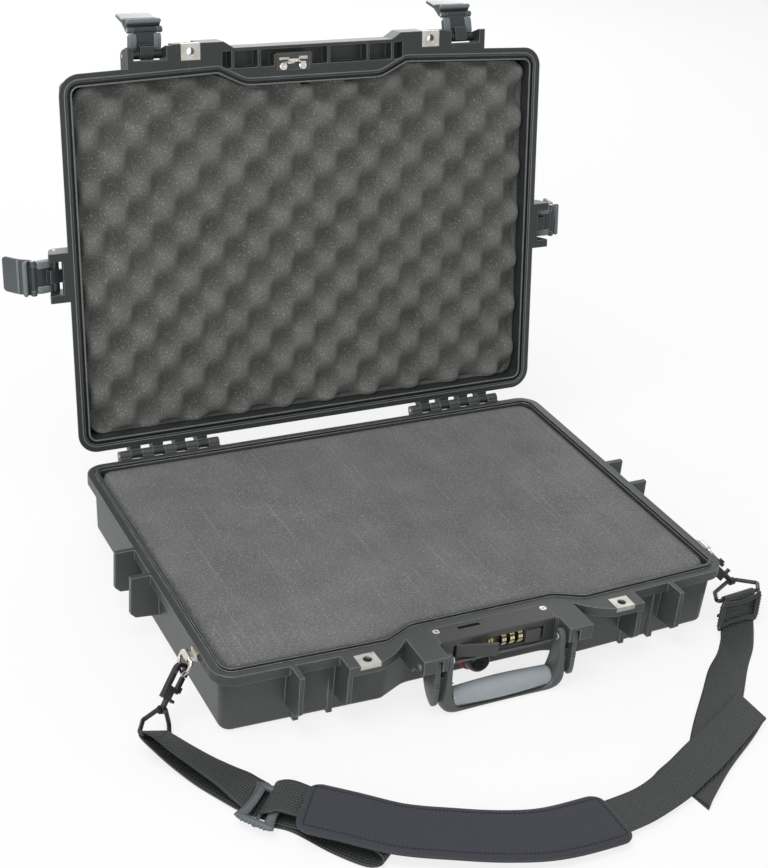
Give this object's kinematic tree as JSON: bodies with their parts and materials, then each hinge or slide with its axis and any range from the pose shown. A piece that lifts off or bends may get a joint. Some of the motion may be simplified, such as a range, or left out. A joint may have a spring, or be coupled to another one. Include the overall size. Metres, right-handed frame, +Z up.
{
  "type": "laptop hard case",
  "caption": "Laptop hard case with hinged foam-lined lid, toggle latches, combination lock, folding handle and padded shoulder strap.",
  "frame": {"origin": "middle of the flat bottom of the base, midway between the side rims and between the front and back rims", "axes": "+X to the right seen from the handle, +Y from the handle towards the hinge, +Z up"},
  "size_m": [0.6378, 0.7397, 0.4853],
  "materials": {
    "shell": "black moulded polymer with a fine even texture",
    "lock_plastic": "smooth moulded black",
    "latch_plastic": "moulded charcoal",
    "handle_plastic": "moulded charcoal",
    "grip": "soft grey overmoulding with a low sheen",
    "base_foam": "open-cell foam, flat top, mid grey",
    "lid_foam": "open-cell foam with an egg-crate face, dark grey",
    "seal": "black",
    "pin_steel": "plain turned pin",
    "plate_steel": "stainless sheet, satin",
    "bright_metal": "bright nickel",
    "brass": "key cylinder face",
    "dial_plastic": "black with raised pale digits",
    "valve_red": "red collar",
    "valve_black": "black dome",
    "black_wire": "black coated metal",
    "slider_plastic": "black moulded",
    "webbing": "ribbed woven webbing",
    "pad": "navy-black twill cover, stitched"
  },
  "bodies": {
    "case_base": {"base_shell": "shell", "base_foam_pad": "base_foam", "base_foam_pluck": "base_foam", "hinge_pins": "pin_steel", "base_padlock_plates": "plate_steel", "lock_housing": "lock_plastic", "lock_screws": "bright_metal", "lock_cylinder": "brass", "dial_axle": "pin_steel", "flap_pin": "pin_steel", "valve_collar": "valve_red", "valve_cap": "valve_black", "handle_pins": "pin_steel", "ring_brackets": "bright_metal", "snap_hook_left": "black_wire", "snap_hook_right": "black_wire", "strap_loop_left": "black_wire", "strap_loop_right": "black_wire", "web_slider_left": "slider_plastic", "web_slider_right": "slider_plastic", "webbing_left": "webbing", "shoulder_pad": "pad", "webbing_tail": "webbing", "webbing_right": "webbing", "webbing_right_end": "webbing"},
    "lid": {"lid_shell": "shell", "lid_foam": "lid_foam", "lid_seal": "seal", "lid_padlock_plates": "plate_steel", "lock_strike": "bright_metal", "strike_screws": "bright_metal", "latch_pins": "pin_steel"},
    "arm_front_left": {"latch_arm_front_left": "latch_plastic", "lever_pin_front_left": "pin_steel"},
    "lever_front_left": {"latch_lever_front_left": "latch_plastic"},
    "arm_front_right": {"latch_arm_front_right": "latch_plastic", "lever_pin_front_right": "pin_steel"},
    "lever_front_right": {"latch_lever_front_right": "latch_plastic"},
    "arm_left": {"latch_arm_left": "latch_plastic", "lever_pin_left": "pin_steel"},
    "lever_left": {"latch_lever_left": "latch_plastic"},
    "arm_right": {"latch_arm_right": "latch_plastic", "lever_pin_right": "pin_steel"},
    "lever_right": {"latch_lever_right": "latch_plastic"},
    "handle": {"handle_frame": "handle_plastic", "handle_grip": "grip"},
    "dial_1": {"dial_1": "dial_plastic"},
    "dial_2": {"dial_2": "dial_plastic"},
    "dial_3": {"dial_3": "dial_plastic"},
    "button": {"lock_button": "lock_plastic"},
    "flap": {"lock_flap": "lock_plastic"},
    "ring_left": {"strap_ring_left": "bright_metal"},
    "gate_left": {"hook_gate_left": "black_wire"},
    "ring_right": {"strap_ring_right": "bright_metal"},
    "gate_right": {"hook_gate_right": "black_wire"}
  },
  "joints": [
    {"name": "lid_hinge", "type": "hinge", "parent": "case_base", "child": "lid", "pos_m": [0, 0.1945, 0.0647], "axis": [-1, 0, 0], "range_deg": [-98.8, 0]},
    {"name": "arm_front_left_hinge", "type": "hinge", "parent": "lid", "child": "arm_front_left", "pos_m": [-0.1675, 0.27037, 0.44825], "axis": [-1, 0, 0], "range_deg": [-82, 28]},
    {"name": "lever_front_left_hinge", "type": "hinge", "parent": "arm_front_left", "child": "lever_front_left", "pos_m": [-0.1675, 0.2717, 0.47164], "axis": [-1, 0, 0], "range_deg": [-67, 33]},
    {"name": "arm_front_right_hinge", "type": "hinge", "parent": "lid", "child": "arm_front_right", "pos_m": [0.1675, 0.27037, 0.44825], "axis": [-1, 0, 0], "range_deg": [-103, 7]},
    {"name": "lever_front_right_hinge", "type": "hinge", "parent": "arm_front_right", "child": "lever_front_right", "pos_m": [0.1675, 0.27999, 0.46961], "axis": [-1, 0, 0], "range_deg": [-47, 53]},
    {"name": "arm_left_hinge", "type": "hinge", "parent": "lid", "child": "arm_left", "pos_m": [-0.2655, 0.23949, 0.24878], "axis": [0, -0.153, -0.9882], "range_deg": [-73, 37]},
    {"name": "lever_left_hinge", "type": "hinge", "parent": "arm_left", "child": "lever_left", "pos_m": [-0.28817, 0.23368, 0.24968], "axis": [0, -0.153, -0.9882], "range_deg": [-59, 41]},
    {"name": "arm_right_hinge", "type": "hinge", "parent": "lid", "child": "arm_right", "pos_m": [0.2655, 0.23949, 0.24878], "axis": [0, 0.153, 0.9882], "range_deg": [-88, 22]},
    {"name": "lever_right_hinge", "type": "hinge", "parent": "arm_right", "child": "lever_right", "pos_m": [0.28892, 0.23967, 0.24876], "axis": [0, 0.153, 0.9882], "range_deg": [-59, 41]},
    {"name": "handle_hinge", "type": "hinge", "parent": "case_base", "child": "handle", "pos_m": [0, -0.2125, 0.0535], "axis": [-1, 0, 0], "range_deg": [0, 95]},
    {"name": "dial_1_spin", "type": "hinge", "parent": "case_base", "child": "dial_1", "pos_m": [0.0054, -0.1942, 0.0516], "axis": [1, 0, 0], "continuous": true},
    {"name": "dial_2_spin", "type": "hinge", "parent": "case_base", "child": "dial_2", "pos_m": [0.0137, -0.1942, 0.0516], "axis": [1, 0, 0], "continuous": true},
    {"name": "dial_3_spin", "type": "hinge", "parent": "case_base", "child": "dial_3", "pos_m": [0.022, -0.1942, 0.0516], "axis": [1, 0, 0], "continuous": true},
    {"name": "button_press", "type": "slide", "parent": "case_base", "child": "button", "axis": [0, 1, 0], "range_m": [0, 0.003], "stiffness_N_per_m": 300, "springref_m": -0.001},
    {"name": "flap_hinge", "type": "hinge", "parent": "case_base", "child": "flap", "pos_m": [-0.0405, -0.1987, 0.0516], "axis": [0, 0, -1], "range_deg": [-17, 72.5]},
    {"name": "ring_left_swing", "type": "hinge", "parent": "case_base", "child": "ring_left", "pos_m": [-0.2645, -0.136, 0.058], "axis": [0, 1, 0], "range_deg": [0, 5]},
    {"name": "gate_left_slide", "type": "slide", "parent": "case_base", "child": "gate_left", "axis": [-0.6284, -0.4843, -0.6087], "range_m": [0, 0.005], "stiffness_N_per_m": 150, "springref_m": -0.002},
    {"name": "ring_right_swing", "type": "hinge", "parent": "case_base", "child": "ring_right", "pos_m": [0.2645, -0.136, 0.058], "axis": [0, -1, 0], "range_deg": [0, 5]},
    {"name": "gate_right_slide", "type": "slide", "parent": "case_base", "child": "gate_right", "axis": [0.6226, -0.4764, -0.6208], "range_m": [0, 0.005], "stiffness_N_per_m": 150, "springref_m": -0.002}
  ]
}
